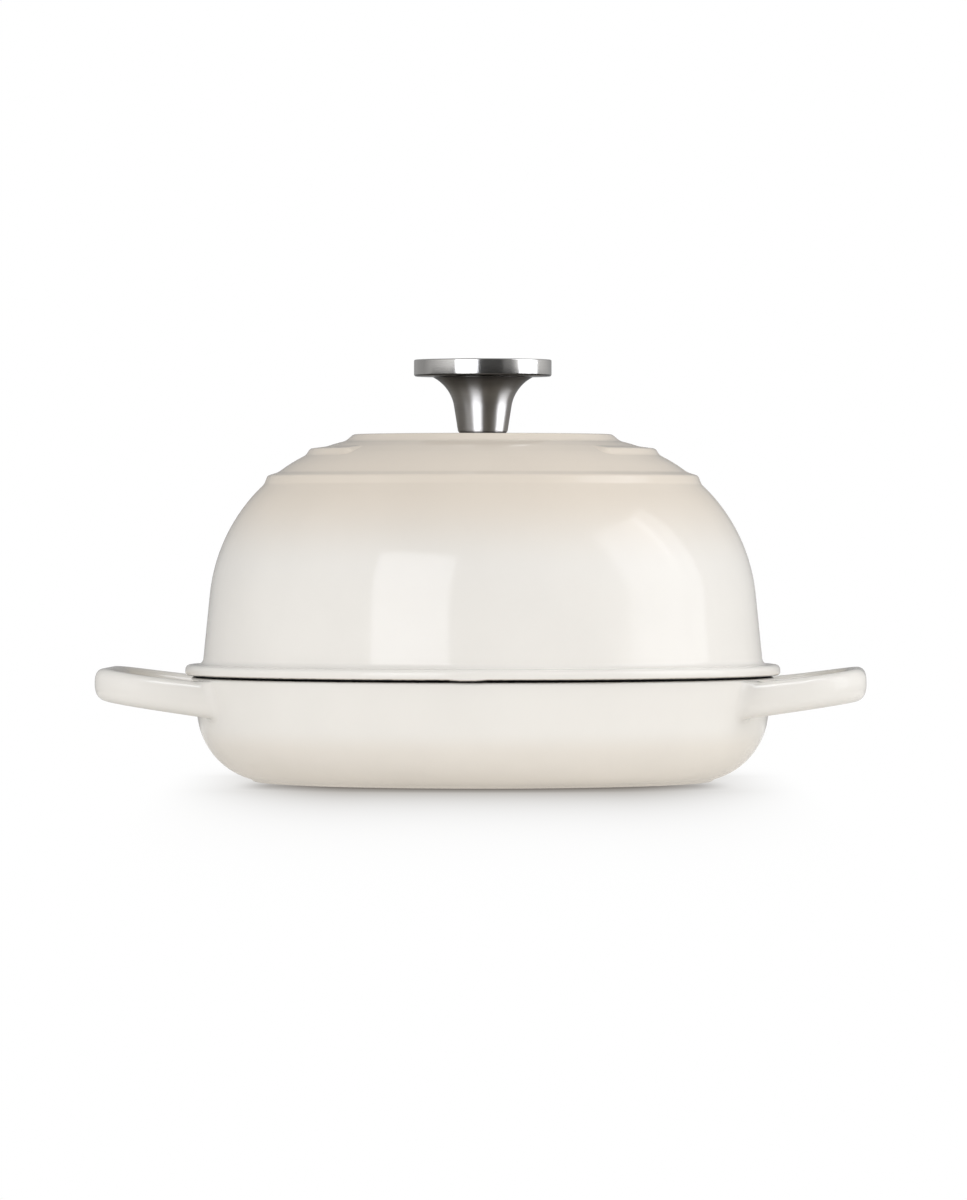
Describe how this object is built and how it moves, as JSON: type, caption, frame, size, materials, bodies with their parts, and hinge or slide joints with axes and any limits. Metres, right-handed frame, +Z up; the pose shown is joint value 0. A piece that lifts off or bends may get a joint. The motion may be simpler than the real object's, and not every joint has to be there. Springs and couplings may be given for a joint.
{
  "type": "cast iron bread oven",
  "caption": "Enamelled cast iron bread oven: a shallow round pan with loop handles under a tall domed lid that lifts off by a flared steel knob.",
  "frame": {"origin": "middle of the circle that the pan stands on, in the plane of its foot", "axes": "+Z up along the pan's and the lid's common axis, +X along the line through both handles"},
  "size_m": [0.32, 0.2482, 0.1758],
  "materials": {
    "cream_enamel": "cream gloss enamel outside, black satin enamel inside",
    "brushed_steel": "brushed round the rim",
    "satin_steel": "satin",
    "turned_steel": "plain turned"
  },
  "bodies": {
    "pan": {"base_pan": "cream_enamel"},
    "lid": {"lid_dome": "cream_enamel", "knob_cap": "brushed_steel", "knob_stem": "satin_steel", "knob_insert": "turned_steel", "knob_screw": "turned_steel", "lock_washer": "turned_steel", "flat_washer": "turned_steel"}
  },
  "joints": [
    {"name": "lid_lift", "type": "slide", "parent": "pan", "child": "lid", "axis": [0, 0, 1], "range_m": [0, 0.15]}
  ]
}
